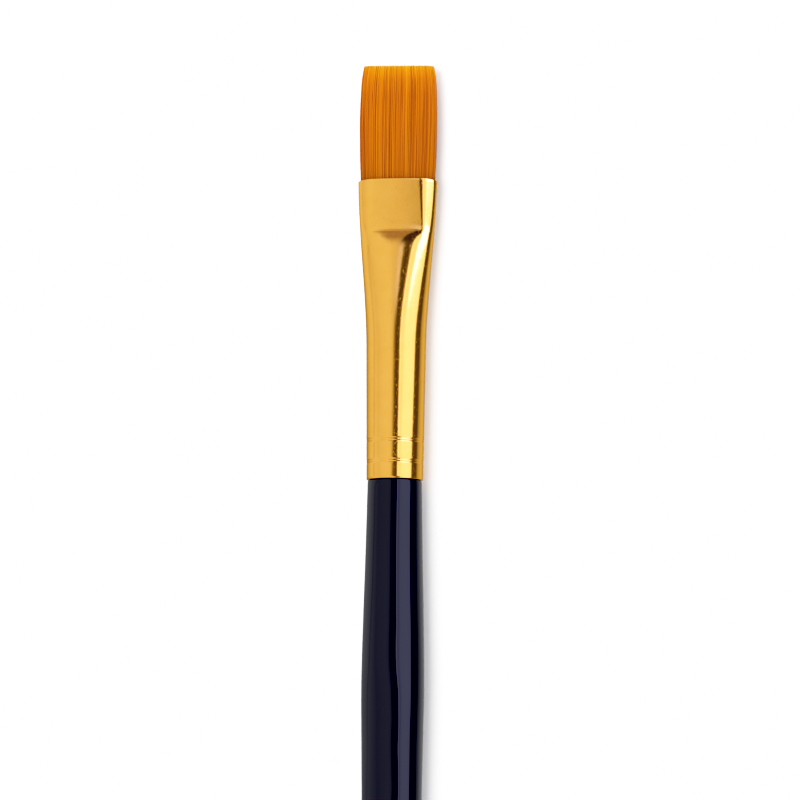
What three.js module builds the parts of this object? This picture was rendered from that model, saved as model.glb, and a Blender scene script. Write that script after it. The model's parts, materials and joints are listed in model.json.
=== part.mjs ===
// A flat artists' brush with a short handle: a turned and lacquered wooden handle, a seamless
// brass ferrule pressed flat at its mouth, and a square-cut tuft of golden synthetic bristles.
// Each piece is made along the brush's own Y axis, which runs from the tail to the bristle tips
// with Y = 0 at the ferrule's rear edge. X runs across the wide side of the tuft and Z through
// its thin side. The finished brush is then laid on its belly and the underside of its ferrule.
import * as THREE from 'three';

// Ferrule: a drawn tube, pressed from a circle to a flat mouth without changing its girth.
const FERRULE_LENGTH = 43;
const FERRULE_RADIUS = 4.0;
const FERRULE_WALL = 0.3;
const FERRULE_EDGE = 0.08;
const MOUTH_HALF_WIDTH = 5.68;
const FLARE_START = 19;
const EVEN_FLARE = 0.32;
const CROWN_LOSS = 0.1;
const FLARE_SQUARENESS = 0.33;
const PANEL_LENGTH = 7.6;
const PANEL_CREASE_HALF_WIDTH = 3.5;
const PANEL_MOUTH_HALF_WIDTH = 3.27;
const PANEL_HALF_THICKNESS = 1.6;
const PANEL_WIDTH_SHARE = 0.65;
const SHOULDER_REACH = 0.9;
const CORNER_DRAW = 0.25;
const RING_STATIONS = [2.5, 5.5];
const RING_DEPTH = 0.12;
const RING_HALF_WIDTH = 0.3;

// Handle: radii at stations counted from the ferrule's rear edge towards the tail.
const HANDLE_LENGTH = 141;
const BELLY_STATION = 28.5;
const BELLY_RADIUS = 4.43;
const TAIL_RADIUS = 2.35;
const HANDLE_OUTLINE = [
  [3.83, 0], [4.03, 10], [4.28, 20], [BELLY_RADIUS, BELLY_STATION], [4.31, 38],
  [3.72, 70], [3.2, 95], [2.72, 120], [TAIL_RADIUS, HANDLE_LENGTH - TAIL_RADIUS],
];
const SHOULDER_RADIUS = HANDLE_OUTLINE[0][0];
const SHOULDER_CHAMFER = 0.15;
const TENON_LENGTH = 16;
const TENON_RADIUS = 3.42;
const TENON_END_RADIUS = 3.2;
const TENON_CHAMFER = 0.6;

// Glue, resin, thread and bristle roots inside the ferrule. An inset is counted inwards from
// the ferrule's outside surface, and neighbours keep a fit gap between them.
const FIT_GAP = 0.05;
const BORE_INSET = FERRULE_WALL + FIT_GAP;
const GLUE_FROM = 0.6;
const GLUE_TO = 15;
const RESIN_FROM = 22;
const RESIN_TO = 34;
const RESIN_FLOOR = 1.2;
const RESIN_INSET = 0.95;
const THREAD_FROM = 25.6;
const THREAD_TURNS = 4;
const THREAD_DIAMETER = 0.7;
const THREAD_FLAT = 0.3;
const ROOT_INSET = RESIN_INSET + FIT_GAP;
const WAIST_INSET = ROOT_INSET + THREAD_FLAT + FIT_GAP;
const ROOT_TO = 42.7;

// Tuft: the free bristles, as half-widths and half-thicknesses at distances out of the mouth.
// They bend about an axis across the mouth, on a round foot that turns clear of the ferrule.
const TUFT_OUT = 16.5;
const TUFT_HALF_WIDTHS = [[5.36, 0], [5.53, 4], [5.61, 8.5], [5.55, 12], [5.35, 15], [5.1, TUFT_OUT]];
const TUFT_HALF_THICKNESSES = [[1.25, 0], [1.25, 2], [1.3, 5], [1.2, 9], [0.92, 13.5], [0.66, TUFT_OUT]];
const TUFT_CROWN = 1.3;
const FOOT_RADIUS = 1.25;
const FOOT_GAP = 0.3;
const BEND_STATION = FERRULE_LENGTH + FOOT_GAP + FOOT_RADIUS;

const SEGMENTS = 36;
const CREASE_STATION = FERRULE_LENGTH - PANEL_LENGTH;
const REST_TILT = Math.atan2(BELLY_RADIUS - FERRULE_RADIUS, BELLY_STATION);

const lacquer = new THREE.MeshStandardMaterial({ color: 0x1c1c2a, roughness: 0.15 });
const brass = new THREE.MeshStandardMaterial({ color: 0xeeb850, roughness: 0.18, metalness: 1 });
const glue = new THREE.MeshStandardMaterial({ color: 0xd8cfae, roughness: 0.5 });
const resin = new THREE.MeshStandardMaterial({ color: 0xb98a4a, roughness: 0.35 });
const thread = new THREE.MeshStandardMaterial({ color: 0xe8e2d2, roughness: 0.85 });
const bristle = new THREE.MeshStandardMaterial({ color: 0xd6821a, roughness: 0.4 });

const { clamp, lerp, smoothstep } = THREE.MathUtils;
const point = (radius, station) => new THREE.Vector2(radius, station);

// The value at a station, on straight lines between [value, station] pairs.
function valueAt(pairs, station) {
  const next = Math.max(1, pairs.findIndex((pair) => pair[1] >= station));
  const [fromValue, from] = pairs[next - 1];
  const [toValue, to] = pairs[next];
  return lerp(fromValue, toValue, clamp((station - from) / (to - from), 0, 1));
}

// Stations from one place to another, in equal steps no longer than the given one.
function stations(from, to, step) {
  const count = Math.ceil(Math.abs(to - from) / step);
  return Array.from({ length: count + 1 }, (_, i) => lerp(from, to, i / count));
}

// A solid of revolution about Y. Its facets lie flat on top and underneath.
function turned(profile) {
  return new THREE.LatheGeometry(profile, SEGMENTS, Math.PI / SEGMENTS);
}

// Half the ferrule's outside width, growing from the rear tube to the flat mouth.
function halfWidth(station) {
  const along = clamp(station / FERRULE_LENGTH, 0, 1);
  const flare = smoothstep(station, FLARE_START, FERRULE_LENGTH);
  return lerp(FERRULE_RADIUS, MOUTH_HALF_WIDTH, lerp(flare, along, EVEN_FLARE));
}

// Half its thickness behind the panel: what the tube gains in width it loses in height, a
// little faster as it gets flatter.
function halfCrown(station) {
  const gain = halfWidth(station) - FERRULE_RADIUS;
  return FERRULE_RADIUS - gain - CROWN_LOSS * gain * gain;
}

// The flared tube's height above the middle, at a share of its half width: a circle that
// squares off a little as it flares.
function flaredHeight(share, station, inset) {
  const power = 2 + FLARE_SQUARENESS * smoothstep(station, FLARE_START, CREASE_STATION);
  return (halfCrown(station) - inset) * (1 - share ** power) ** (1 / power);
}

// The pressed mouth's height: a flat panel between two elliptical sides.
function panelHeight(share, station, inset) {
  const reach = halfWidth(station) - inset;
  const forward = clamp((station - CREASE_STATION) / PANEL_LENGTH, 0, 1);
  const panel = lerp(PANEL_CREASE_HALF_WIDTH, PANEL_MOUTH_HALF_WIDTH, forward);
  const flat = Math.min(panel, reach * PANEL_WIDTH_SHARE);
  const beside = clamp((share * reach - flat) / (reach - flat), 0, 1);
  return (PANEL_HALF_THICKNESS - inset) * Math.sqrt(1 - beside * beside);
}

// How far the tube has sprung back up from the panel: steeply behind the crease, then easing.
function unpressed(station) {
  return 1 - Math.exp(Math.min(0, station - CREASE_STATION) / SHOULDER_REACH);
}

// Reshapes a turned piece to the ferrule's section. A radius of FERRULE_RADIUS lands on the
// ferrule's outside surface, and a smaller radius lies that much further in.
function pressed(geometry, cornerDraw = 0) {
  const place = geometry.attributes.position;
  for (let i = 0; i < place.count; i += 1) {
    const radius = Math.hypot(place.getX(i), place.getZ(i));
    if (radius < 1e-6) continue;
    const station = place.getY(i);
    const inset = Math.min(FERRULE_RADIUS - radius, WAIST_INSET);
    const shrink = Math.min(1, radius / (FERRULE_RADIUS - WAIST_INSET));
    const share = Math.abs(place.getX(i)) / radius;
    const x = (halfWidth(station) - inset) * shrink * place.getX(i) / radius;
    const panel = panelHeight(share, station, inset);
    const height = lerp(panel, flaredHeight(share, station, inset), unpressed(station));
    const z = Math.sign(place.getZ(i)) * height * shrink;
    const nearMouth = smoothstep(station, CREASE_STATION, FERRULE_LENGTH);
    const draw = cornerDraw * nearMouth * (x / MOUTH_HALF_WIDTH) ** 4;
    place.setXYZ(i, x, station - draw, z);
  }
  return geometry;
}

// Rows of one inset between two stations, close together on the flare, shoulder and panel.
function pressedRows(inset, from, to) {
  const shoulder = CREASE_STATION - 3 * SHOULDER_REACH;
  const between = [
    ...stations(8, FLARE_START, 5.5),
    ...stations(FLARE_START + 2, shoulder, 2.3),
    ...stations(shoulder + SHOULDER_REACH, CREASE_STATION, SHOULDER_REACH / 2),
    ...stations(CREASE_STATION + 1.9, FERRULE_LENGTH, 1.9),
  ].filter((station) => station > from + 0.3 && station < to - 0.3);
  return [from, ...between, to].map((station) => point(FERRULE_RADIUS - inset, station));
}

// The handle with its tenon, turned from one rod: round tail, long taper, belly and shoulder.
function handle() {
  const tailCentre = TAIL_RADIUS - HANDLE_LENGTH;
  const tail = new THREE.EllipseCurve(0, tailCentre, TAIL_RADIUS, TAIL_RADIUS, -Math.PI / 2, 0);
  const curve = new THREE.SplineCurve(HANDLE_OUTLINE.map(([radius, station]) => point(radius, -station)));
  const taper = curve.getSpacedPoints(26).reverse();
  return turned([
    point(0, -HANDLE_LENGTH),
    ...tail.getPoints(5).slice(1, -1),
    ...taper.slice(0, -1),
    point(SHOULDER_RADIUS, -SHOULDER_CHAMFER - FIT_GAP),
    point(SHOULDER_RADIUS - SHOULDER_CHAMFER, -FIT_GAP),
    point(TENON_RADIUS, -FIT_GAP),
    point(TENON_END_RADIUS, TENON_LENGTH - TENON_CHAMFER),
    point(TENON_END_RADIUS - TENON_CHAMFER, TENON_LENGTH),
    point(0, TENON_LENGTH),
  ]);
}

// The drawn tube: an eased rear edge, two crimped rings, the flare and the pressed mouth.
function ferrule() {
  const profile = [point(FERRULE_RADIUS - FERRULE_EDGE, 0), point(FERRULE_RADIUS, FERRULE_EDGE)];
  for (const ring of RING_STATIONS) {
    profile.push(point(FERRULE_RADIUS, ring - RING_HALF_WIDTH));
    profile.push(point(FERRULE_RADIUS - RING_DEPTH, ring));
    profile.push(point(FERRULE_RADIUS, ring + RING_HALF_WIDTH));
  }
  profile.push(...pressedRows(0, 7, FERRULE_LENGTH - FERRULE_EDGE));
  profile.push(point(FERRULE_RADIUS - FERRULE_EDGE, FERRULE_LENGTH));
  profile.push(...pressedRows(FERRULE_WALL, 0, FERRULE_LENGTH).reverse());
  profile.push(profile[0].clone());
  return pressed(turned(profile), CORNER_DRAW);
}

// The film of glue between the tenon and the ferrule's bore.
function handleGlue() {
  const rows = stations(GLUE_FROM, GLUE_TO, 5);
  const outside = rows.map((station) => point(halfCrown(station) - BORE_INSET, station));
  const tenonAt = (station) => lerp(TENON_RADIUS, TENON_END_RADIUS, station / TENON_LENGTH);
  const inside = rows.reverse().map((station) => point(tenonAt(station) + 2 * FIT_GAP, station));
  return turned([...outside, ...inside, outside[0].clone()]);
}

// The cup of cast resin that locks the bristle roots: a floor behind them and a wall around.
function rootResin() {
  const floor = RESIN_FROM + RESIN_FLOOR;
  return pressed(turned([
    point(0, RESIN_FROM),
    ...pressedRows(BORE_INSET, RESIN_FROM, RESIN_TO),
    ...pressedRows(RESIN_INSET, floor, RESIN_TO).reverse(),
    point(0, floor),
  ]));
}

// The turns of thread that hold the bundle together while it is set in resin.
function tuftBinding() {
  const inner = FERRULE_RADIUS - ROOT_INSET - THREAD_FLAT;
  const outer = FERRULE_RADIUS - ROOT_INSET;
  const profile = [point(inner, THREAD_FROM)];
  for (let turn = 0; turn < THREAD_TURNS; turn += 1) {
    const from = THREAD_FROM + turn * THREAD_DIAMETER;
    profile.push(point(outer, from + THREAD_DIAMETER * 0.3));
    profile.push(point(outer, from + THREAD_DIAMETER * 0.7));
    profile.push(point((inner + outer) / 2, from + THREAD_DIAMETER));
  }
  profile.push(point(inner, THREAD_FROM + THREAD_TURNS * THREAD_DIAMETER), profile[0].clone());
  return pressed(turned(profile));
}

// The bristle roots, potted in the ferrule: a waist for the thread, then the full mouth.
function tuftRoot() {
  const rear = RESIN_FROM + RESIN_FLOOR + FIT_GAP;
  const threadTo = THREAD_FROM + THREAD_TURNS * THREAD_DIAMETER;
  return pressed(turned([
    point(0, rear),
    ...pressedRows(ROOT_INSET, rear, THREAD_FROM - 2 * FIT_GAP),
    ...pressedRows(WAIST_INSET, THREAD_FROM - FIT_GAP, threadTo + FIT_GAP),
    ...pressedRows(ROOT_INSET, threadTo + 2 * FIT_GAP, RESIN_TO + FIT_GAP),
    ...pressedRows(BORE_INSET, RESIN_TO + 2 * FIT_GAP, ROOT_TO),
    point(0, ROOT_TO),
  ]));
}

// The free bristles: a flat tuft that swells a little, thins to a chisel and is cut square.
// Its foot is round about the bending axis.
function tuft() {
  const foot = [0, 0.35, 0.7, 1].map((share) => point(share, BEND_STATION));
  const rows = stations(BEND_STATION + 0.8, FERRULE_LENGTH + TUFT_OUT, 1.7);
  const end = point(0, FERRULE_LENGTH + TUFT_OUT);
  const geometry = turned([...foot, ...rows.map((station) => point(1, station)), end]);
  const place = geometry.attributes.position;
  for (let i = 0; i < place.count; i += 1) {
    const station = place.getY(i);
    const share = Math.hypot(place.getX(i), place.getZ(i));
    const out = station - FERRULE_LENGTH;
    const flat = valueAt(TUFT_HALF_THICKNESSES, out);
    const x = valueAt(TUFT_HALF_WIDTHS, out) * place.getX(i);
    const z = clamp(flat * TUFT_CROWN * place.getZ(i), -flat * share, flat * share);
    const round = Math.sqrt(Math.max(0, FOOT_RADIUS * FOOT_RADIUS - z * z));
    place.setXYZ(i, x, station === BEND_STATION ? station - round : station, z);
  }
  return geometry;
}

const brush = new THREE.Group();

function add(name, geometry, material) {
  const mesh = new THREE.Mesh(geometry, material);
  mesh.name = name;
  brush.add(mesh);
}

add('handle', handle(), lacquer);
add('handle_glue', handleGlue(), glue);
add('ferrule', ferrule(), brass);
add('root_resin', rootResin(), resin);
add('tuft_binding', tuftBinding(), thread);
add('tuft_root', tuftRoot(), bristle);
add('tuft', tuft(), bristle);

// Laid down with the tip lowered until the ferrule touches, centred over the origin.
brush.rotation.x = -REST_TILT;
const box = new THREE.Box3().setFromObject(brush, true);
const centre = box.getCenter(new THREE.Vector3());
brush.position.set(-centre.x, -centre.y, -box.min.z);

export default brush;
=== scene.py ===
"""A flat artists' brush on a white table: lacquered handle, gold ferrule and golden bristles.

Every piece is built in the brush's own frame, in millimetres: Y runs from the tail to the
bristle tips with 0 at the ferrule's rear edge, X across the tuft and Z out of its flat side.
"""

import json
import math

import bpy
import numpy as np
from mathutils import Matrix, Vector


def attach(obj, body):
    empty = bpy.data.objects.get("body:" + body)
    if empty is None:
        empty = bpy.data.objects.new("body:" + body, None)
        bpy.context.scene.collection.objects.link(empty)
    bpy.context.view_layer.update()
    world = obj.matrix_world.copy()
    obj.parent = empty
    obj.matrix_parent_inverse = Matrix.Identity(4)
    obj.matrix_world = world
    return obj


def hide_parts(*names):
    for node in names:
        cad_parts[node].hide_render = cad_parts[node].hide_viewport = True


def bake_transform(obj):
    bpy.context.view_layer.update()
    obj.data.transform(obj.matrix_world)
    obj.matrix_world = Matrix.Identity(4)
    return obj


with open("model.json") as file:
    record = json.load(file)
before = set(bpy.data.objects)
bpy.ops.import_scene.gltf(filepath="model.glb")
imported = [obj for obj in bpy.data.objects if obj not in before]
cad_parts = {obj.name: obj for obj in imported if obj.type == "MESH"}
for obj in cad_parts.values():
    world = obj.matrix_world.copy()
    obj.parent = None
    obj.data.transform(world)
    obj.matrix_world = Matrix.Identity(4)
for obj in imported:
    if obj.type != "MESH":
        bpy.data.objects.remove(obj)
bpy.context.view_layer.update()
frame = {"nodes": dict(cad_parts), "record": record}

MM = 0.001

# The ferrule, as in the CAD model.
FERRULE_LENGTH = 43.0
FERRULE_RADIUS = 4.0
FERRULE_WALL = 0.3
MOUTH_HALF_WIDTH = 5.68
FLARE_START = 19.0
EVEN_FLARE = 0.32
CROWN_LOSS = 0.1
FLARE_SQUARENESS = 0.33
PANEL_LENGTH = 7.6
PANEL_HALF_THICKNESS = 1.6
SHOULDER_REACH = 0.9
CREASE_STATION = FERRULE_LENGTH - PANEL_LENGTH
CORNER_DRAW = 0.25
RING_STATIONS = (2.5, 5.5)

# Finer shape of the ferrule than the CAD's: the panel is a little bowed, it narrows to a tight
# bend on either side, and it curves up into its crease. The tube's edges are eased, and each
# crimped ring is a pair of fine rolled lines.
PANEL_BOW = 0.05
PANEL_CREASE_HALF_WIDTH = 3.74
PANEL_MOUTH_HALF_WIDTH = 3.22
PANEL_BEND = 1.5
CREASE_ROUND = 0.1
FILLET_RISE = 0.2
FILLET_REACH = 0.5
EDGE_ROUND = 0.1
RING_LINE_OFFSET = 0.17
RING_LINE_DEPTH = 0.05
RING_LINE_REACH = 0.07

# How closely the ferrule's surface is divided. Its rows stand close together within a reach of
# the rings and on either side of the crease, and the plain stretches keep a margin to the rings.
FERRULE_COLUMNS = 300
EDGE_ROWS = 5
REAR_STATION = 0.3
REAR_ROWS = 4
RING_ROWS = 25
RING_REACH = 0.4
RING_MARGINS = (0.6, 0.7)
BODY_ROWS = 22
FLARE_ROWS = 34
SHOULDER_LENGTH = 5 * SHOULDER_REACH
SHOULDER_ROWS = 44
FILLET_LENGTH = 2.0
FILLET_ROWS = 16
PANEL_ROWS = 16
BORE_ROWS = 60

# The handle, as in the CAD model: radii at stations counted towards the tail, and the tenon
# ahead of them. Its shoulder stands clear of the ferrule, and is rounded here.
HANDLE_LENGTH = 141.0
TAIL_RADIUS = 2.35
HANDLE_OUTLINE = (
    (3.83, 0), (4.03, 10), (4.28, 20), (4.43, 28.5), (4.31, 38),
    (3.72, 70), (3.2, 95), (2.72, 120), (TAIL_RADIUS, HANDLE_LENGTH - TAIL_RADIUS),
)
SHOULDER_STATION = 0.3
SHOULDER_ROUND = 0.2
SHOULDER_CLEARANCE = 0.05
TENON_OUTLINE = ((3.42, -SHOULDER_CLEARANCE), (3.2, 15.4), (2.6, 16.0))

# How closely the handle's surface is divided.
HANDLE_COLUMNS = 96
TAIL_ROWS = 14
HANDLE_ROWS = 180
ROUNDING_ROWS = 5

# The free bristles, as in the CAD model: half sizes at distances out of the mouth.
TUFT_OUT = 16.5
TUFT_HALF_WIDTHS = ((5.36, 0), (5.53, 4), (5.61, 8.5), (5.55, 12), (5.35, 15), (5.1, TUFT_OUT))
TUFT_HALF_THICKNESSES = (
    (1.25, 0), (1.25, 2), (1.3, 5), (1.2, 9), (0.92, 13.5), (0.66, TUFT_OUT),
)

RNG = np.random.default_rng(12)


# ---------------------------------------------------------------- frame

def mount(name):
    return next(m for m in frame["record"]["mounts"] if m["name"] == name)


def brush_matrix():
    """From the brush's own millimetres to the frame's metres."""
    along = Vector(mount("bristle_tip")["axis"]).normalized()
    facing = Vector(mount("ferrule_panel")["axis"]).normalized()
    across = along.cross(facing)
    tip = Vector(mount("bristle_tip")["pos_m"])
    origin = tip - along * (FERRULE_LENGTH + TUFT_OUT) * MM
    turn = Matrix((across, along, facing)).transposed().to_4x4()
    return Matrix.Translation(origin) @ turn @ Matrix.Scale(MM, 4)


BRUSH = brush_matrix()


def place(x, y, z):
    """A point of the brush, in the frame's metres."""
    return BRUSH @ Vector((x, y, z))


# ---------------------------------------------------------------- camera

# The view of the brush: distances in metres, lens and sensor in millimetres, how far the camera
# leans back to the tail, to the right and round, and the point of the brush that it looks at.
CAMERA_DISTANCE = 0.5
CAMERA_LENS = 159.1
CAMERA_SENSOR = 36
CAMERA_CLIPS = (0.01, 20)
CAMERA_BACK = math.radians(5.9)
CAMERA_SIDE = math.radians(8.5)
CAMERA_ROLL = math.radians(0.57)
CAMERA_TARGET = (0.635, 11.4, 0.0)


def add_camera():
    target = place(*CAMERA_TARGET)
    towards = Vector((math.tan(CAMERA_SIDE), -math.tan(CAMERA_BACK), 1)).normalized()
    along = Vector(mount("bristle_tip")["axis"])
    right = along.cross(towards).normalized()
    up = towards.cross(right)
    upright = Matrix((right, up, towards)).transposed().to_4x4()
    turn = upright @ Matrix.Rotation(CAMERA_ROLL, 4, "Z")
    data = bpy.data.cameras.new("camera")
    data.lens = CAMERA_LENS
    data.sensor_width = CAMERA_SENSOR
    data.clip_start, data.clip_end = CAMERA_CLIPS
    camera = bpy.data.objects.new("camera", data)
    camera.matrix_world = Matrix.Translation(target + towards * CAMERA_DISTANCE) @ turn
    bpy.context.scene.collection.objects.link(camera)
    bpy.context.scene.camera = camera


# ---------------------------------------------------------------- curves and meshes

def along_points(pairs, stations):
    """Values at stations, on a smooth curve through (value, station) pairs."""
    values = np.array([pair[0] for pair in pairs], float)
    places = np.array([pair[1] for pair in pairs], float)
    slopes = np.gradient(values, places)
    stations = np.clip(np.asarray(stations, float), places[0], places[-1])
    i = np.clip(np.searchsorted(places, stations, side="right") - 1, 0, len(places) - 2)
    width = places[i + 1] - places[i]
    t = (stations - places[i]) / width
    rise = values[i] * (2 * t**3 - 3 * t**2 + 1) + values[i + 1] * (3 * t**2 - 2 * t**3)
    lean = slopes[i] * (t**3 - 2 * t**2 + t) + slopes[i + 1] * (t**3 - t**2)
    return rise + lean * width


def smooth(value, low, high):
    """A smooth step of a value from 0 to 1 between two limits."""
    t = np.clip((np.asarray(value, float) - low) / (high - low), 0, 1)
    return t * t * (3 - 2 * t)


def add_mesh(name, points, faces, material):
    """A piece from points in the brush's millimetres and faces as vertex numbers."""
    mesh = bpy.data.meshes.new(name)
    mesh.from_pydata(np.asarray(points, float).tolist(), [], faces)
    mesh.transform(BRUSH)
    mesh.polygons.foreach_set("use_smooth", np.full(len(mesh.polygons), True))
    mesh.materials.append(material)
    mesh.update()
    piece = bpy.data.objects.new(name, mesh)
    bpy.context.scene.collection.objects.link(piece)
    return piece


def grid_faces(rows, columns, wrap_rows=False):
    """Quads between rows of points that each close on themselves."""
    faces = []
    for row in range(rows if wrap_rows else rows - 1):
        here, there = row * columns, (row + 1) % rows * columns
        for column in range(columns):
            after = (column + 1) % columns
            faces.append((here + column, here + after, there + after, there + column))
    return faces


# ---------------------------------------------------------------- shader nodes

DARK_AT, LIGHT_AT = 0.3, 0.7  # the levels of a noise that take its two tones


def new_material(name):
    """A node material, with its node tree and its Principled shader."""
    material = bpy.data.materials.new(name)
    material.use_nodes = True
    return material, material.node_tree, material.node_tree.nodes["Principled BSDF"]


def add_ramp(tree, value, stops):
    """The colour of a 0 to 1 value, through (place, colour) stops."""
    ramp = tree.nodes.new("ShaderNodeValToRGB")
    elements = ramp.color_ramp.elements
    while len(elements) < len(stops):
        elements.new(0.5)
    for element, (position, colour) in zip(elements, stops):
        element.position = position
        element.color = (*colour, 1)
    tree.links.new(value, ramp.inputs["Fac"])
    return ramp.outputs["Color"]


def add_noise(tree, scale, detail, stretch=(1, 1, 1)):
    """Noise over a piece's own place in metres, drawn out along an axis by a low stretch."""
    where = tree.nodes.new("ShaderNodeTexCoord")
    mapping = tree.nodes.new("ShaderNodeMapping")
    mapping.inputs["Scale"].default_value = stretch
    noise = tree.nodes.new("ShaderNodeTexNoise")
    noise.inputs["Scale"].default_value = scale
    noise.inputs["Detail"].default_value = detail
    tree.links.new(where.outputs["Object"], mapping.inputs["Vector"])
    tree.links.new(mapping.outputs["Vector"], noise.inputs["Vector"])
    return noise.outputs["Fac"]


def add_math(tree, operation, first, second=0.0):
    """A math operation on one or two values, each a number or another node's output."""
    node = tree.nodes.new("ShaderNodeMath")
    node.operation = operation
    for socket, value in zip(node.inputs, (first, second)):
        if isinstance(value, (int, float)):
            socket.default_value = value
        else:
            tree.links.new(value, socket)
    return node.outputs[0]


def add_product(tree, first, second):
    return add_math(tree, "MULTIPLY", first, second)


def add_rest(tree, share):
    """What a share leaves of 1."""
    return add_math(tree, "SUBTRACT", 1.0, share)


def add_step(tree, value, limits):
    """A smooth step of a value from 0 at the first limit to 1 at the second."""
    node = tree.nodes.new("ShaderNodeMapRange")
    node.interpolation_type = "SMOOTHSTEP"
    node.inputs["From Min"].default_value = limits[0]
    node.inputs["From Max"].default_value = limits[1]
    tree.links.new(value, node.inputs["Value"])
    return node.outputs["Result"]


def add_window(tree, value, limits):
    """1 between the two middle limits, easing to 0 at the outer two."""
    rise = add_step(tree, value, limits[:2])
    fall = add_step(tree, value, limits[2:])
    return add_math(tree, "SUBTRACT", rise, fall)


def add_range(tree, value, low, high, socket):
    """Feeds a 0 to 1 value to a socket, spread from low to high."""
    spread = tree.nodes.new("ShaderNodeMapRange")
    spread.inputs["To Min"].default_value = low
    spread.inputs["To Max"].default_value = high
    tree.links.new(value, spread.inputs["Value"])
    tree.links.new(spread.outputs["Result"], socket)


def add_bump(tree, height, distance, strength, shader):
    bump = tree.nodes.new("ShaderNodeBump")
    bump.inputs["Distance"].default_value = distance
    bump.inputs["Strength"].default_value = strength
    tree.links.new(height, bump.inputs["Height"])
    tree.links.new(bump.outputs["Normal"], shader.inputs["Normal"])


def add_two_tones(tree, shader, scale, dark, light):
    """Colours a piece with a fine noise between two tones."""
    tint = add_noise(tree, scale, detail=3)
    tones = add_ramp(tree, tint, ((DARK_AT, dark), (LIGHT_AT, light)))
    tree.links.new(tones, shader.inputs["Base Color"])


# ---------------------------------------------------------------- materials

SAG_SHARE = 15.0  # how much higher the sags are than the fine peel


def lacquer_material():
    """Deep navy gloss lacquer, with the faint waviness and the sags of a dipped coat."""
    material, tree, shader = new_material("navy_lacquer")
    add_two_tones(tree, shader, 60, (0.0002, 0.0002, 0.0036), (0.0004, 0.0004, 0.0048))
    cloud = add_noise(tree, scale=300, detail=2)
    add_range(tree, cloud, 0.02, 0.06, shader.inputs["Roughness"])
    peel = add_noise(tree, scale=220, detail=1, stretch=(1, 0.5, 1))
    sags = add_noise(tree, scale=75, detail=1, stretch=(1, 0.8, 1))
    height = add_math(tree, "ADD", peel, add_product(tree, sags, SAG_SHARE))
    add_bump(tree, height, distance=0.00004, strength=0.5, shader=shader)
    shader.inputs["IOR"].default_value = 1.49
    return material


SPECK_LIMITS = (0.66, 0.74)  # the levels of the noise where a speck starts and is full


def gold_material():
    """Polished gold-coloured plating, with fine polishing marks along it and a few specks."""
    material, tree, shader = new_material("polished_gold")
    add_two_tones(tree, shader, 500, (0.93, 0.467, 0.091), (0.96, 0.487, 0.103))
    marks = add_noise(tree, scale=2600, detail=3, stretch=(1, 0.12, 1))
    add_range(tree, marks, 0.06, 0.16, shader.inputs["Roughness"])
    ripple = add_noise(tree, scale=900, detail=2)
    specks = add_noise(tree, scale=5200, detail=1, stretch=(1, 0.6, 1))
    height = add_math(tree, "ADD", ripple, add_step(tree, specks, SPECK_LIMITS))
    add_bump(tree, height, distance=0.00002, strength=0.25, shader=shader)
    shader.inputs["Metallic"].default_value = 1.0
    shader.inputs["Specular Tint"].default_value = (1.0, 0.82, 0.5, 1)
    return material


STRAND_MAP = "OFBake"  # the name of the filaments' own map; the map's name that an export bake looks for, so it keeps this one

# A filament's colours from the ferrule (0) to its cut tip (1): its own amber to gold, with
# painted shade darkening the stretch next to the ferrule's mouth.
STRAND_COLOURS_AND_SHADE = (
    (0.0, (0.275, 0.078, 0.002)),
    (0.1, (0.335, 0.091, 0.002)),
    (0.42, (0.38, 0.102, 0.002)),
    (0.74, (0.44, 0.118, 0.002)),
    (0.88, (0.51, 0.148, 0.002)),
    (0.955, (0.60, 0.20, 0.003)),
    (0.985, (0.66, 0.27, 0.012)),
    (1.0, (0.74, 0.40, 0.05)),
)


def bristle_material():
    """Golden synthetic filament, deep amber at the ferrule to honey gold at the cut tips; the
    darkest stretch next to the ferrule's mouth is painted shade.

    The map's V runs along a filament and its U picks the filament's own tint."""
    material, tree, shader = new_material("golden_filament")
    strand = tree.nodes.new("ShaderNodeUVMap")
    strand.uv_map = STRAND_MAP
    split = tree.nodes.new("ShaderNodeSeparateXYZ")
    tree.links.new(strand.outputs["UV"], split.inputs["Vector"])
    own, along = split.outputs["X"], split.outputs["Y"]
    tint = tree.nodes.new("ShaderNodeHueSaturation")
    # The ramp along a filament holds painted shade next to the ferrule's mouth.
    tree.links.new(add_ramp(tree, along, STRAND_COLOURS_AND_SHADE), tint.inputs["Color"])
    add_range(tree, own, 0.6, 1.4, tint.inputs["Value"])
    add_range(tree, own, 0.49, 0.51, tint.inputs["Hue"])
    tree.links.new(tint.outputs["Color"], shader.inputs["Base Color"])
    shader.inputs["Roughness"].default_value = 0.36
    shader.inputs["Specular IOR Level"].default_value = 0.22
    return material


def inner_material(name, scale, roughness, dark, light):
    """A material for a piece that is sealed inside the ferrule."""
    material, tree, shader = new_material(name)
    add_two_tones(tree, shader, scale, dark, light)
    shader.inputs["Roughness"].default_value = roughness
    return material


def floor_material():
    material, _, shader = new_material("white_table")
    shader.inputs["Base Color"].default_value = (0.92, 0.92, 0.92, 1)
    shader.inputs["Roughness"].default_value = 0.9
    return material


# ---------------------------------------------------------------- handle

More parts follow.
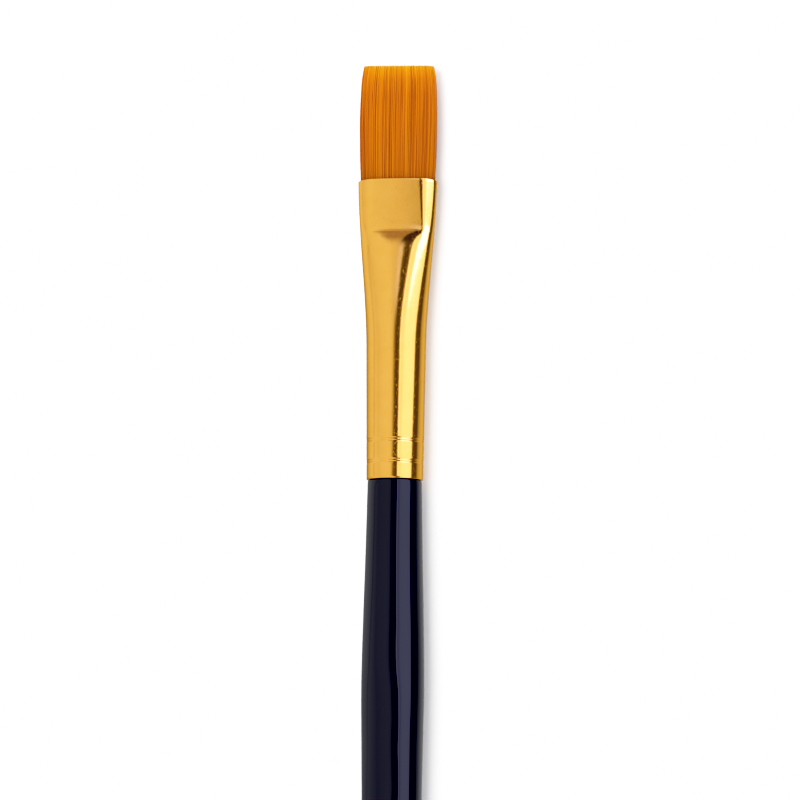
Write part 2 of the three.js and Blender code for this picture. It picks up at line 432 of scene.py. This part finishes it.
def handle_rows():
    """(radius, station) rows of the handle from its tail to the end of its tenon."""
    tail_centre = TAIL_RADIUS - HANDLE_LENGTH
    rows = [
        (TAIL_RADIUS * math.cos(angle), tail_centre + TAIL_RADIUS * math.sin(angle))
        for angle in np.linspace(-math.pi / 2, 0, TAIL_ROWS)[1:]
    ]
    stations = np.linspace(-tail_centre, SHOULDER_STATION, HANDLE_ROWS)[1:]
    rows += list(zip(along_points(HANDLE_OUTLINE, stations), -stations))
    radius = HANDLE_OUTLINE[0][0] - SHOULDER_ROUND
    station = -SHOULDER_CLEARANCE - SHOULDER_ROUND
    rows += [
        (radius + SHOULDER_ROUND * math.cos(angle), station + SHOULDER_ROUND * math.sin(angle))
        for angle in np.linspace(0, math.pi / 2, ROUNDING_ROWS)
    ]
    return rows + list(TENON_OUTLINE)


def build_handle(material):
    angles = np.linspace(0, 2 * math.pi, HANDLE_COLUMNS, endpoint=False)
    rows = handle_rows()
    points = [
        (radius * math.sin(angle), station, radius * math.cos(angle))
        for radius, station in rows
        for angle in angles
    ]
    faces = grid_faces(len(rows), HANDLE_COLUMNS)
    tail, front = len(points), len(points) + 1
    points += [(0, -HANDLE_LENGTH, 0), (0, rows[-1][1], 0)]
    last = (len(rows) - 1) * HANDLE_COLUMNS
    for column in range(HANDLE_COLUMNS):
        after = (column + 1) % HANDLE_COLUMNS
        faces.append((column, tail, after))
        faces.append((last + column, last + after, front))
    piece = add_mesh("turned_handle", points, faces, material)
    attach(piece, "brush_body")
    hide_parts("handle")


# ---------------------------------------------------------------- ferrule

def half_width(station):
    """Half the tube's outside width, growing from the round rear to the flat mouth."""
    along = np.clip(station / FERRULE_LENGTH, 0, 1)
    flare = smooth(station, FLARE_START, FERRULE_LENGTH)
    growth = EVEN_FLARE * along + (1 - EVEN_FLARE) * flare
    return FERRULE_RADIUS + (MOUTH_HALF_WIDTH - FERRULE_RADIUS) * growth


def half_crown(station):
    """Half the tube's thickness behind the panel."""
    gain = half_width(station) - FERRULE_RADIUS
    return FERRULE_RADIUS - gain - CROWN_LOSS * gain**2


def flared_height(share, station, inset):
    """The flared tube's height at a share of its half width: a circle that squares off."""
    power = 2 + FLARE_SQUARENESS * smooth(station, FLARE_START, CREASE_STATION)
    return (half_crown(station) - inset) * (1 - share**power) ** (1 / power)


def panel_height(share, station, inset):
    """The pressed mouth's height: a nearly flat panel between two rounded sides."""
    reach = half_width(station) - inset
    forward = np.clip((station - CREASE_STATION) / PANEL_LENGTH, 0, 1)
    narrowing = PANEL_CREASE_HALF_WIDTH - PANEL_MOUTH_HALF_WIDTH
    flat = PANEL_CREASE_HALF_WIDTH - narrowing * forward
    across = share * reach
    beside = np.clip((across - flat) / (reach - flat), 0, 1)
    bow = PANEL_BOW * np.minimum(across / flat, 1) ** 2 * (1 - beside)
    return (PANEL_HALF_THICKNESS - inset) * np.sqrt(1 - beside**PANEL_BEND) - bow


def unpressed(station):
    """How far the tube has sprung back up from the panel: steep at the crease, then easing."""
    behind = CREASE_STATION - station
    eased = np.sqrt(np.maximum(behind, 0) ** 2 + CREASE_ROUND**2) - CREASE_ROUND
    sprung = 1 - (1 - FILLET_RISE) * np.exp(-eased / SHOULDER_REACH)
    fillet = FILLET_RISE * np.exp(np.minimum(behind, 0) / FILLET_REACH)
    return np.where(behind > 0, sprung, fillet)


def pressed(station, angle, inset):
    """Where the pressed tube's wall is, at a depth under its outside surface."""
    share = np.abs(np.sin(angle))
    x = (half_width(station) - inset) * np.sin(angle)
    panel = panel_height(share, station, inset)
    flared = flared_height(share, station, inset)
    height = panel + (flared - panel) * unpressed(station)
    z = np.sign(np.cos(angle)) * height
    mouth = smooth(station, CREASE_STATION, FERRULE_LENGTH)
    draw = CORNER_DRAW * mouth * (x / MOUTH_HALF_WIDTH) ** 4
    return np.stack([x, station - draw, z], axis=-1)


def ring_depth(station):
    """How deep the rings' rolled lines are at a station."""
    depth = 0.0
    for ring in RING_STATIONS:
        for line in (ring - RING_LINE_OFFSET, ring + RING_LINE_OFFSET):
            depth += RING_LINE_DEPTH * math.exp(-(((station - line) / RING_LINE_REACH) ** 2))
    return depth


def eased_edge(station, inwards):
    """(inset, station) rows round the tube's eased end, from its face to its outside."""
    return [
        (EDGE_ROUND * (1 - math.sin(turn)), station + inwards * EDGE_ROUND * (1 - math.cos(turn)))
        for turn in np.linspace(0, math.pi / 2, EDGE_ROWS)
    ]


def outside_stations():
    """Stations along the tube's outside, from one eased end to the other."""
    panel_start = CREASE_STATION + FILLET_LENGTH
    rear_end = RING_STATIONS[0] - RING_MARGINS[0]
    body_start = RING_STATIONS[-1] + RING_MARGINS[1]
    return np.concatenate([
        np.linspace(REAR_STATION, rear_end, REAR_ROWS),
        *(np.linspace(ring - RING_REACH, ring + RING_REACH, RING_ROWS) for ring in RING_STATIONS),
        np.linspace(body_start, FLARE_START, BODY_ROWS),
        np.linspace(FLARE_START, CREASE_STATION - SHOULDER_LENGTH, FLARE_ROWS)[1:],
        CREASE_STATION - SHOULDER_LENGTH * np.linspace(1, 0, SHOULDER_ROWS)[1:] ** 2,
        CREASE_STATION + FILLET_LENGTH * np.linspace(0, 1, FILLET_ROWS)[1:] ** 2,
        np.linspace(panel_start, FERRULE_LENGTH - EDGE_ROUND, PANEL_ROWS)[1:-1],
    ])


def ferrule_rows():
    """(inset, station) rows along the outside of the tube and back through its bore."""
    outside = [(ring_depth(station), station) for station in outside_stations()]
    bore = [(FERRULE_WALL, station) for station in np.linspace(FERRULE_LENGTH, 0, BORE_ROWS)]
    return eased_edge(0, 1) + outside + eased_edge(FERRULE_LENGTH, -1)[::-1] + bore


def build_ferrule(material):
    angles = np.linspace(0, 2 * math.pi, FERRULE_COLUMNS, endpoint=False)
    angles += math.pi / FERRULE_COLUMNS
    rows = ferrule_rows()
    points = np.concatenate([
        pressed(np.full(FERRULE_COLUMNS, station), angles, inset)
        for inset, station in rows
    ])
    faces = grid_faces(len(rows), FERRULE_COLUMNS, wrap_rows=True)
    piece = add_mesh("gold_ferrule", points, faces, material)
    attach(piece, "brush_body")
    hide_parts("ferrule")
    return piece


# ---------------------------------------------------------------- bristles

# The filaments stand in rows over the mouth, and the rows at its faces are narrower. Places
# across the tuft (u) and through it (v) are shares of its half width and half thickness.
FILAMENT_RADIUS = 0.066
FILAMENT_PITCH = 0.108
FACE_ROW_LOSS = 0.12
FACE_ROW_POWER = 5
U_ERROR = 0.003
V_ERROR = 0.015

# The tuft is thinner round its two edges.
EDGE_LOSS = 0.85
EDGE_POWER = 6
EDGE_LEAST = 0.05

# They gather into slight locks that open again towards the tips: how wide a lock is, how far
# it pulls its filaments in, how it drifts sideways, how its edges sink and how it is raised.
LOCK_PITCH = 0.34
LOCK_WIDTHS = (0.4, 1.6)
LOCK_PULLS = (0.05, 0.22)
LOCK_DRIFT = 0.01
LOCK_SINKS = (0.0, 0.045)
LOCK_LIFT = 0.02
LOCK_EDGE = 1.2
DRIFT_REACH = (2, 15)
GATHER_REACH = (1, 6)
OPENING_REACH = (12, 16.3)
OPENING_SHARE = 0.75

# Each filament wanders a little on its own, and a few stray further.
WANDER = 0.005
WANDER_REACH = (3, 16)
STRAY_WANDER = 0.025
STRAY_SHARE = 0.03
WAVE = 0.003
WAVE_RATES = (0.2, 0.5)
WAVE_STARTS = (0, 6.3)
HEIGHT_ERROR = 0.025

# Each is potted a little way in, tapers to a share of its radius, is cut off short of the tuft's
# length, a little skew from side to side, and has a tint of its own.
ROOT_DEPTH = 0.25
TAPER_START = 4
TIP_SHARE = 0.6
RADIUS_SHARES = (0.9, 1.12)
TIP_SHORT = 0.03
TIP_ERROR = 0.05
TIP_SKEW = 0.09
TINT_MEAN = 0.5
TINT_SPREAD = 0.2
TINT_LIMITS = (0.02, 0.98)

# The outer filaments, past these places, are finer meshes: rings of points, points in a ring.
OUTER_U = 0.96
OUTER_V = 0.82
OUTER_DETAIL = (20, 8)
INNER_DETAIL = (7, 4)


def filament_places():
    """The filaments' places over the mouth, as (u, v) pairs."""
    half_width_here = TUFT_HALF_WIDTHS[0][0] - FILAMENT_RADIUS
    half_thickness_here = TUFT_HALF_THICKNESSES[0][0] - FILAMENT_RADIUS
    row_pitch = FILAMENT_PITCH * math.sqrt(3) / 2
    row_count = int(2 * half_thickness_here / row_pitch) + 1
    places = []
    for row in range(row_count):
        v = -1 + 2 * row / (row_count - 1)
        reach = 1 - FACE_ROW_LOSS * abs(v) ** FACE_ROW_POWER
        count = int(2 * half_width_here * reach / FILAMENT_PITCH)
        first = 0.25 + 0.5 * (row % 2)  # every second row is half a place along
        for i in range(count):
            u = (-1 + 2 * (i + first) / count) * reach
            places.append((u + RNG.normal(0, U_ERROR), v + RNG.normal(0, V_ERROR)))
    return places


def edge_thinning(u):
    """The share of its thickness that the tuft has at a place across it."""
    return math.sqrt(max(EDGE_LEAST, 1 - min(1, abs(u)) ** EDGE_POWER * EDGE_LOSS))


def make_locks():
    """The locks, side by side across the tuft."""
    locks, at = [], -1.0
    while at < 1.0:
        width = LOCK_PITCH / TUFT_HALF_WIDTHS[0][0] * RNG.uniform(*LOCK_WIDTHS)
        locks.append({
            "u": at + width / 2,
            "half": width / 2,
            "pull": RNG.uniform(*LOCK_PULLS),
            "drift": RNG.normal(0, LOCK_DRIFT),
            "sink": RNG.uniform(*LOCK_SINKS),
            "lift": RNG.normal(0, LOCK_LIFT),
        })
        at += width
    return locks


def filament_path(u, v, lock, distances):
    """The centre line of one filament, from the mouth to its cut tip."""
    opening = OPENING_SHARE * smooth(distances, *OPENING_REACH)
    gather = smooth(distances, *GATHER_REACH) * (1 - opening)
    pull = lock["pull"] * gather
    middle = lock["u"] + lock["drift"] * smooth(distances, *DRIFT_REACH)
    wander = STRAY_WANDER if RNG.random() < STRAY_SHARE else WANDER
    own = RNG.normal(0, wander) * smooth(distances, *WANDER_REACH)
    wave, rate, start = RNG.normal(0, WAVE), RNG.uniform(*WAVE_RATES), RNG.uniform(*WAVE_STARTS)
    own = own + wave * np.sin(distances * rate + start)
    across = np.clip((u + own) * (1 - pull) + middle * pull, -1, 1)
    aside = min(LOCK_EDGE, abs(u - lock["u"]) / lock["half"])
    raised = (lock["lift"] - lock["sink"] * aside**2) * gather
    height = 1 + raised + RNG.normal(0, HEIGHT_ERROR)
    half_widths = along_points(TUFT_HALF_WIDTHS, distances) - FILAMENT_RADIUS
    half_thicknesses = along_points(TUFT_HALF_THICKNESSES, distances) - FILAMENT_RADIUS
    x = half_widths * across
    z = half_thicknesses * v * edge_thinning(u) * height
    return np.stack([x, FERRULE_LENGTH + distances, z], axis=-1)


def add_filament(path, radii, sides, tint, points, faces, maps):
    """Adds one tapered filament with a cut tip to the lists, with its map."""
    start = len(points)
    around = np.linspace(0, 2 * math.pi, sides, endpoint=False)
    angles = RNG.uniform(0, 2 * math.pi) + around
    shares = np.linspace(0, 1, len(path))
    for (x, y, z), radius in zip(path, radii):
        for angle in angles:
            points.append((x + radius * math.sin(angle), y, z + radius * math.cos(angle)))
    for row in range(len(path) - 1):
        here, there = start + row * sides, start + (row + 1) * sides
        low, high = (tint, shares[row]), (tint, shares[row + 1])
        for side in range(sides):
            after = (side + 1) % sides
            faces.append((here + side, here + after, there + after, there + side))
            maps.extend((low, low, high, high))
    last = start + (len(path) - 1) * sides
    faces.append(tuple(range(last, last + sides)))
    maps.extend([(tint, 1.0)] * sides)
    faces.append(tuple(reversed(range(start, start + sides))))
    maps.extend([(tint, 0.0)] * sides)


def build_bristles(material):
    locks = make_locks()
    groups = {"bristles_outer": ([], [], []), "bristles_inner": ([], [], [])}
    for u, v in filament_places():
        lock = min(locks, key=lambda each: abs(each["u"] - u))
        outer = abs(v) > OUTER_V or abs(u) > OUTER_U
        rings, sides = OUTER_DETAIL if outer else INNER_DETAIL
        length = TUFT_OUT - TIP_SHORT - abs(RNG.normal(0, TIP_ERROR)) - TIP_SKEW * u
        distances = np.linspace(-ROOT_DEPTH, length, rings)
        path = filament_path(u, v, lock, distances)
        taper = 1 - (1 - TIP_SHARE) * smooth(distances, TAPER_START, TUFT_OUT)
        radii = FILAMENT_RADIUS * taper * RNG.uniform(*RADIUS_SHARES)
        tint = float(np.clip(RNG.normal(TINT_MEAN, TINT_SPREAD), *TINT_LIMITS))
        group = groups["bristles_outer" if outer else "bristles_inner"]
        add_filament(path, radii, sides, tint, *group)
    for name, (points, faces, maps) in groups.items():
        piece = add_mesh(name, points, faces, material)
        layer = piece.data.uv_layers.new(name=STRAND_MAP)
        layer.data.foreach_set("uv", np.array(maps, float).ravel())
        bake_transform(piece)
        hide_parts("tuft")


# ---------------------------------------------------------------- pieces sealed in the ferrule

# Each CAD node's material: its name, the scale of its noise, its roughness and its two tones.
INNER_LOOKS = {
    "handle_glue": ("dried_glue", 400, 0.5, (0.55, 0.48, 0.32), (0.7, 0.63, 0.45)),
    "root_resin": ("amber_resin", 300, 0.2, (0.35, 0.17, 0.045), (0.5, 0.27, 0.08)),
    "tuft_binding": ("waxed_thread", 2500, 0.8, (0.62, 0.57, 0.45), (0.8, 0.76, 0.64)),
    "tuft_root": ("potted_bristle", 3000, 0.5, (0.2, 0.055, 0.003), (0.34, 0.1, 0.005)),
}


def dress_inner_pieces():
    for node, look in INNER_LOOKS.items():
        materials = frame["nodes"][node].data.materials
        materials.clear()
        materials.append(inner_material(*look))


# ---------------------------------------------------------------- studio

FLOOR_REACH = 3.0


def add_floor(material):
    mesh = bpy.data.meshes.new("floor")
    square = ((-1, -1), (1, -1), (1, 1), (-1, 1))
    corners = [(x * FLOOR_REACH, y * FLOOR_REACH, 0) for x, y in square]
    mesh.from_pydata(corners, [], [(0, 1, 2, 3)])
    mesh.materials.append(material)
    floor = bpy.data.objects.new("floor", mesh)
    floor.visible_glossy = False
    bpy.context.scene.collection.objects.link(floor)


# The studio overhead: how bright it is at angles round the brush's long axis, with 0 towards
# the camera, negative on the left and positive on the right.
ROUND_LIGHT = (
    (-180, 0.33), (-155, 0.35), (-142, 0.50), (-125, 0.72), (-112, 0.83), (-95, 0.86),
    (-80, 0.84), (-72, 0.78), (-55, 0.86), (-30, 0.91), (-21, 0.88), (-17, 0.79), (-14.5, 0.70),
    (-10, 0.32), (-5, 0.1), (7.5, 0.1), (11, 1.85), (13, 1.85), (15, 1.25), (20, 1.4),
    (26, 1.66), (50, 1.68), (66.5, 1.55), (72.5, 0.105), (95, 0.105), (102, 0.38), (108, 0.52),
    (115, 0.62), (128, 0.74), (142, 0.66), (155, 0.45), (180, 0.33),
)
BRIGHTEST = 1.85
SOFTBOX_ANGLES = (7.5, 72.5)
SOFTBOX_TINT = (1.0, 1.0, 1.36)
WALL_TINT = (1.0, 1.0, 1.0)
PEAK = BRIGHTEST * max(SOFTBOX_TINT)  # colours are kept as shares of it, so that none passes 1
BACKDROP = 1.6

# The softbox narrows towards the tail: below a lean its left edge moves in, with the gap
# beside it. Angles are round the axis, leans are towards the tips, in degrees.
PINCH_LEAN = 6.0
PINCH_REACH = 8.0
PINCH = 2.0
PINCHED_ANGLES = (63, 13)

# The left wall darkens towards its far corner and its far end, has a seam that leans across it,
# and ends in a pale strip.
CORNER_LEANS = (26, 54)
CORNER_SLOPE = 1.6
CORNER_LINE = (-16, 6)
FAR_LEANS = (58, 72)
WALL_END = (-6, -2)
CORNER_COLOUR = (0.38, 0.32, 0.42)
SEAM_SLOPE = -2.4
SEAM_LINE = (-112, -109, -107, -104)
SEAM_LEANS = (18, 14)
SEAM_LEVEL = 0.72
STRIP_ANGLES = (-16, -12, -8.5, -5)
STRIP_LEANS = (14, 19)
STRIP_COLOUR = (0.86, 0.91, 1.6)
STRIP_CLEARS = 0.5

# The gap between the wall and the softbox is wider and darker far ahead.
GAP_ANGLES = (-16, -10, 8, 13)
GAP_LEANS = (26, 40)
GAP_COLOUR = (0.055, 0.06, 0.05)


def round_light_stops():
    """The studio's colours round the axis, as ramp stops from -180 to 180 degrees."""
    stops = []
    for angle, level in ROUND_LIGHT:
        in_softbox = SOFTBOX_ANGLES[0] < angle < SOFTBOX_ANGLES[1]
        tint = SOFTBOX_TINT if in_softbox else WALL_TINT
        stops.append(((angle + 180) / 360, tuple(level * part / PEAK for part in tint)))
    return stops


def world_angles(tree):
    """A direction's angle round the long axis from the camera's, and its lean to the tips."""
    where = tree.nodes.new("ShaderNodeTexCoord")
    turn = tree.nodes.new("ShaderNodeVectorRotate")
    turn.rotation_type = "Y_AXIS"
    turn.inputs["Angle"].default_value = -CAMERA_SIDE
    tree.links.new(where.outputs["Generated"], turn.inputs["Vector"])
    split = tree.nodes.new("ShaderNodeSeparateXYZ")
    tree.links.new(turn.outputs["Vector"], split.inputs["Vector"])
    across = add_math(tree, "ARCTAN2", split.outputs["X"], split.outputs["Z"])
    ahead = add_math(tree, "ARCSINE", split.outputs["Y"])
    return add_product(tree, across, 180 / math.pi), add_product(tree, ahead, 180 / math.pi)


def lay_over(tree, below, colour, share):
    """Lays a colour, in the same levels as the round light, over another by a share."""
    mix = tree.nodes.new("ShaderNodeMix")
    mix.data_type = "RGBA"
    mix.inputs["B"].default_value = (*(part / PEAK for part in colour), 1)
    tree.links.new(share, mix.inputs["Factor"])
    tree.links.new(below, mix.inputs["A"])
    return mix.outputs["Result"]


def add_patch(tree, across, angles, lean, leans):
    """1 between two angles and past a lean, easing to 0 outside them."""
    return add_product(tree, add_window(tree, across, angles), add_step(tree, lean, leans))


def softbox_pinch(tree, around, lean):
    """How many degrees the softbox's left edge has moved in at a lean."""
    tailwards = add_math(tree, "MAXIMUM", add_math(tree, "SUBTRACT", PINCH_LEAN, lean), 0.0)
    tailwards = add_math(tree, "MINIMUM", tailwards, PINCH_REACH)
    pinched = add_step(tree, around, PINCHED_ANGLES)
    return add_product(tree, add_product(tree, tailwards, PINCH), pinched)


def round_light(tree, around, lean):
    """The studio's colour round the axis, with the softbox pinched towards the tail."""
    share = tree.nodes.new("ShaderNodeMapRange")
    share.inputs["From Min"].default_value = -180
    share.inputs["From Max"].default_value = 180
    pinched = add_math(tree, "SUBTRACT", around, softbox_pinch(tree, around, lean))
    tree.links.new(pinched, share.inputs["Value"])
    return add_ramp(tree, share.outputs["Result"], round_light_stops())


def wall_shade(tree, around, lean, strip):
    """How far the left wall has darkened, at its far corner or its far end."""
    past_corner = add_math(tree, "ADD", lean, add_product(tree, around, CORNER_SLOPE))
    ahead = add_step(tree, lean, CORNER_LEANS)
    corner = add_product(tree, add_step(tree, past_corner, CORNER_LINE), ahead)
    corner = add_product(tree, corner, add_rest(tree, add_product(tree, strip, STRIP_CLEARS)))
    dark = add_math(tree, "MAXIMUM", corner, add_step(tree, lean, FAR_LEANS))
    return add_product(tree, dark, add_rest(tree, add_step(tree, around, WALL_END)))


def studio_colour(tree, around, lean):
    """The studio's colour in a direction: the round light, with the strip, corner and gap."""
    colour = round_light(tree, around, lean)
    strip = add_patch(tree, around, STRIP_ANGLES, lean, STRIP_LEANS)
    dark = wall_shade(tree, around, lean, strip)
    gap = add_patch(tree, around, GAP_ANGLES, lean, GAP_LEANS)
    for layer, amount in ((STRIP_COLOUR, strip), (CORNER_COLOUR, dark), (GAP_COLOUR, gap)):
        colour = lay_over(tree, colour, layer, amount)
    return colour


def studio_strength(tree, around, lean):
    """The studio's strength in a direction: its peak, less a little along the wall's seam."""
    across_seam = add_math(tree, "ADD", around, add_product(tree, lean, SEAM_SLOPE))
    seam = add_patch(tree, across_seam, SEAM_LINE, lean, SEAM_LEANS)
    lost = add_product(tree, seam, 1 - SEAM_LEVEL)
    return add_product(tree, add_rest(tree, lost), PEAK)


def add_world():
    """What the gold and the lacquer mirror. The camera itself sees an even white."""
    world = bpy.data.worlds.new("studio")
    bpy.context.scene.world = world
    world.use_nodes = True
    world.cycles_visibility.diffuse = False
    tree = world.node_tree
    around, lean = world_angles(tree)
    mirrored = tree.nodes["Background"]
    tree.links.new(studio_colour(tree, around, lean), mirrored.inputs["Color"])
    tree.links.new(studio_strength(tree, around, lean), mirrored.inputs["Strength"])
    seen = tree.nodes.new("ShaderNodeBackground")
    seen.inputs["Strength"].default_value = BACKDROP
    path = tree.nodes.new("ShaderNodeLightPath")
    choice = tree.nodes.new("ShaderNodeMixShader")
    tree.links.new(path.outputs["Is Camera Ray"], choice.inputs["Fac"])
    tree.links.new(mirrored.outputs["Background"], choice.inputs[1])
    tree.links.new(seen.outputs["Background"], choice.inputs[2])
    tree.links.new(choice.outputs["Shader"], tree.nodes["World Output"].inputs["Surface"])


# The light that lands on things: a soft key from the upper left throws the brush's shadow to
# the right, and a dome of fill light keeps that shadow pale. Strengths are in W/m2, softness
# and direction in degrees.
KEY_STRENGTH = 2.8
KEY_SOFTNESS = 30
KEY_FROM_LEFT = 13
KEY_FROM_TAIL = 6
FILL_STRENGTH = 3.1
FILL_SOFTNESS = 165

# A hot lamp that shines on the gold only, low on the right and ahead: its height over the
# panel's crease and its reach across and ahead, in metres, its turn, and how bright it is.
LAMP_HEIGHT = 0.6
LAMP_ACROSS = (0.37, 1.75)
LAMP_AHEAD = (0.266, 0.72)
LAMP_TURN = math.radians(9)
LAMP_RADIANCE = 2.4
LAMP_TINT = (1.0, 1.0, 3.4)


def add_sun(name, strength, softness, from_left, from_tail):
    data = bpy.data.lights.new(name, "SUN")
    data.energy = strength
    data.angle = math.radians(softness)
    light = bpy.data.objects.new(name, data)
    aim = (math.tan(math.radians(from_left)), math.tan(math.radians(from_tail)), -1)
    light.rotation_euler = Vector(aim).to_track_quat("-Z", "Y").to_euler()
    light.visible_glossy = False
    bpy.context.scene.collection.objects.link(light)


def add_lamp(mirror):
    """The hot lamp, seen in one piece only."""
    data = bpy.data.lights.new("lamp", "AREA")
    data.shape = "RECTANGLE"
    data.size = LAMP_ACROSS[1] - LAMP_ACROSS[0]
    data.size_y = LAMP_AHEAD[1] - LAMP_AHEAD[0]
    data.energy = LAMP_RADIANCE * math.pi * data.size * data.size_y
    data.color = LAMP_TINT
    lamp = bpy.data.objects.new("lamp", data)
    middle = Vector((sum(LAMP_ACROSS) / 2, sum(LAMP_AHEAD) / 2, LAMP_HEIGHT))
    lamp.location = place(0, CREASE_STATION, 0) + middle
    lamp.rotation_euler = (0, 0, LAMP_TURN)
    lamp.visible_camera = False
    lamp.visible_diffuse = False
    mirrors = bpy.data.collections.new("mirrors")
    mirrors.objects.link(mirror)
    lamp.light_linking.receiver_collection = mirrors
    bpy.context.scene.collection.objects.link(lamp)


# The picture's contrast: blacks a little deeper, whites eased into pure white.
TONE_BLACK = 0.026
TONE_WHITE = 1.35
TONE_BLUE_LIFT = 0.0025
TONE_CURVE = ((0.0, 0.0), (0.315, 0.5), (0.473, 0.72), (0.607, 0.85), (0.811, 0.96), (1.0, 1.0))
BLUE_CURVE, COMBINED_CURVE = 2, 3  # the curves' places in Blender's list


def set_contrast():
    settings = bpy.context.scene.view_settings
    settings.view_transform = "Standard"
    settings.use_curve_mapping = True
    mapping = settings.curve_mapping
    mapping.black_level = (TONE_BLACK,) * 3
    mapping.white_level = (TONE_WHITE,) * 3
    mapping.extend = "HORIZONTAL"
    mapping.curves[BLUE_CURVE].points[0].location = (0.0, TONE_BLUE_LIFT)
    points = mapping.curves[COMBINED_CURVE].points
    for _ in TONE_CURVE[2:]:
        points.new(0.5, 0.5)
    for point, location in zip(points, TONE_CURVE):
        point.location = location
    mapping.update()


# ---------------------------------------------------------------- scene

set_contrast()
add_camera()
add_floor(floor_material())
add_world()
add_sun("key", KEY_STRENGTH, KEY_SOFTNESS, KEY_FROM_LEFT, KEY_FROM_TAIL)
add_sun("fill", FILL_STRENGTH, FILL_SOFTNESS, 0, 0)
build_handle(lacquer_material())
add_lamp(build_ferrule(gold_material()))
build_bristles(bristle_material())
dress_inner_pieces()
